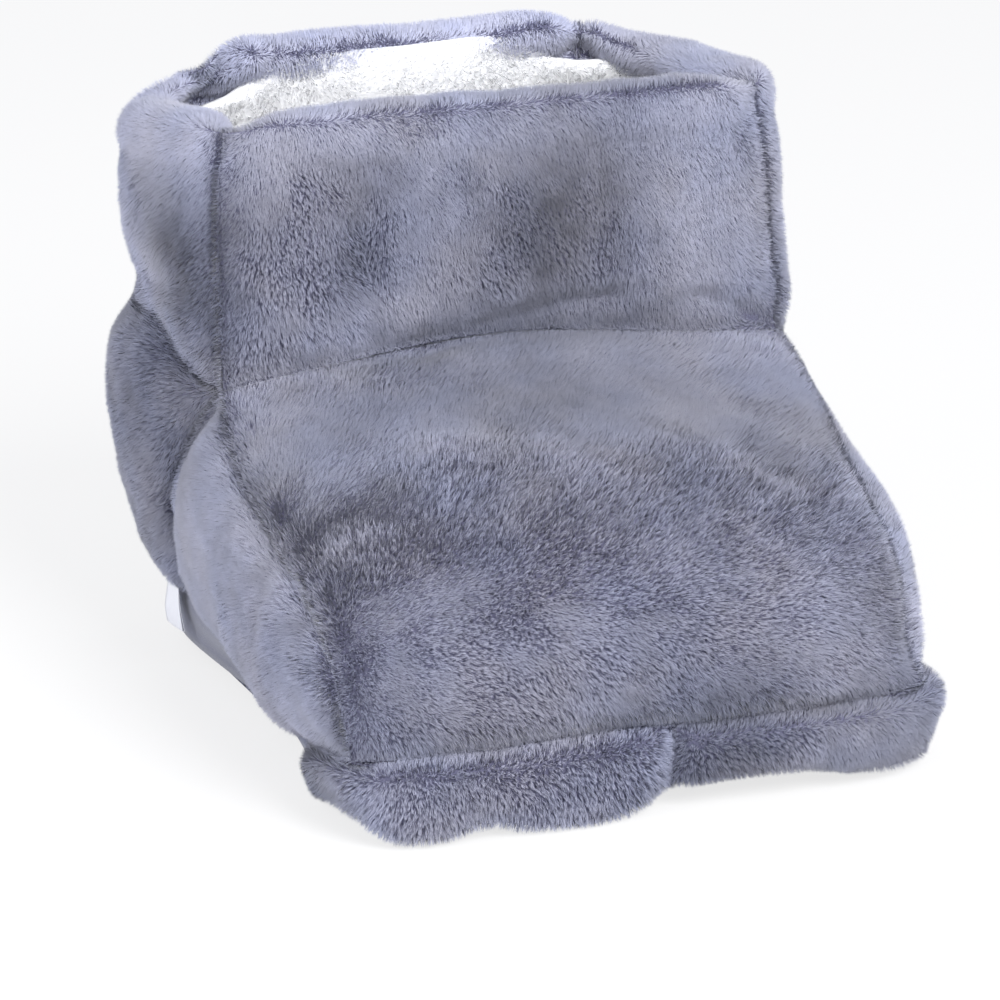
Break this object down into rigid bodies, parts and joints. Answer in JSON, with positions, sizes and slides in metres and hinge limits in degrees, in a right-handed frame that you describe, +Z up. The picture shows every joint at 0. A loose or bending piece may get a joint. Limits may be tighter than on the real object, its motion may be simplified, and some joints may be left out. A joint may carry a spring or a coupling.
{
  "type": "electric foot warmer",
  "caption": "Plush bootee for both feet with a white fleece lining, a raised ankle collar and a heating mat in a zipped pocket under the insole.",
  "frame": {"origin": "centre of the bounding box, at the underside of the sole", "axes": "+Z up, -Y towards the toe, +Y towards the heel, +X to the right as seen from in front of the toe, which is the wearer's left"},
  "size_m": [0.2514, 0.3001, 0.2501],
  "materials": {
    "plush": "blue-grey rabbit-fur plush, 8 mm pile",
    "fleece": "white fleece, short curly pile",
    "sole_cloth": "smooth short-nap slate cloth",
    "zip_tape": "woven polyester tape",
    "coil_nylon": "satin nylon coil",
    "nickel": "nickel-plated zinc",
    "foam": "open-cell cushion foam",
    "heater_felt": "bonded white felt",
    "wire_silicone": "silicone-sheathed heating wire",
    "moulded_black": "moulded black PVC",
    "label_white": "bare white satin ribbon"
  },
  "bodies": {
    "bootee": {"collar_front_panel": "plush", "collar_left_panel": "plush", "collar_back_panel": "plush", "collar_right_panel": "plush", "heel_left_panel": "plush", "heel_back_panel": "plush", "heel_right_panel": "plush", "gusset_left_panel": "plush", "gusset_right_panel": "plush", "instep_panel": "plush", "base_band_left": "plush", "base_band_right": "plush", "collar_front_lining": "fleece", "collar_left_lining": "fleece", "collar_back_lining": "fleece", "collar_right_lining": "fleece", "heel_left_lining": "fleece", "heel_back_lining": "fleece", "heel_right_lining": "fleece", "gusset_left_lining": "fleece", "gusset_right_lining": "fleece", "instep_lining": "fleece", "insole_fleece": "fleece", "base_side_left": "sole_cloth", "base_side_right": "sole_cloth", "base_rear_upper": "sole_cloth", "base_rear_lower": "sole_cloth", "sole_cloth": "sole_cloth", "zip_tape_upper": "zip_tape", "zip_tape_lower": "zip_tape", "zip_coil_upper": "coil_nylon", "zip_coil_lower": "coil_nylon", "zip_stop_left": "nickel", "zip_stop_right": "nickel", "sole_foam": "foam", "heater_cloth_lower": "heater_felt", "heater_cloth_upper": "heater_felt", "heating_wire": "wire_silicone", "thermal_cutout": "moulded_black", "heater_connector": "moulded_black", "heater_lead": "moulded_black", "lead_gland": "moulded_black"},
    "slider": {"zip_slider": "nickel"},
    "pull_tab": {"zip_pull_tab": "nickel"},
    "label": {"side_label": "label_white"}
  },
  "joints": [
    {"name": "zip_slide", "type": "slide", "parent": "bootee", "child": "slider", "axis": [1, 0, 0], "range_m": [0, 0.088]},
    {"name": "pull_tab_hinge", "type": "hinge", "parent": "slider", "child": "pull_tab", "pos_m": [-0.0581, 0.14079, 0.0186], "axis": [0, 0, 1], "range_deg": [0, 180]},
    {"name": "label_hinge", "type": "hinge", "parent": "bootee", "child": "label", "pos_m": [-0.1184, 0.074, 0.0334], "axis": [0, 1, 0], "range_deg": [0, 80]}
  ]
}
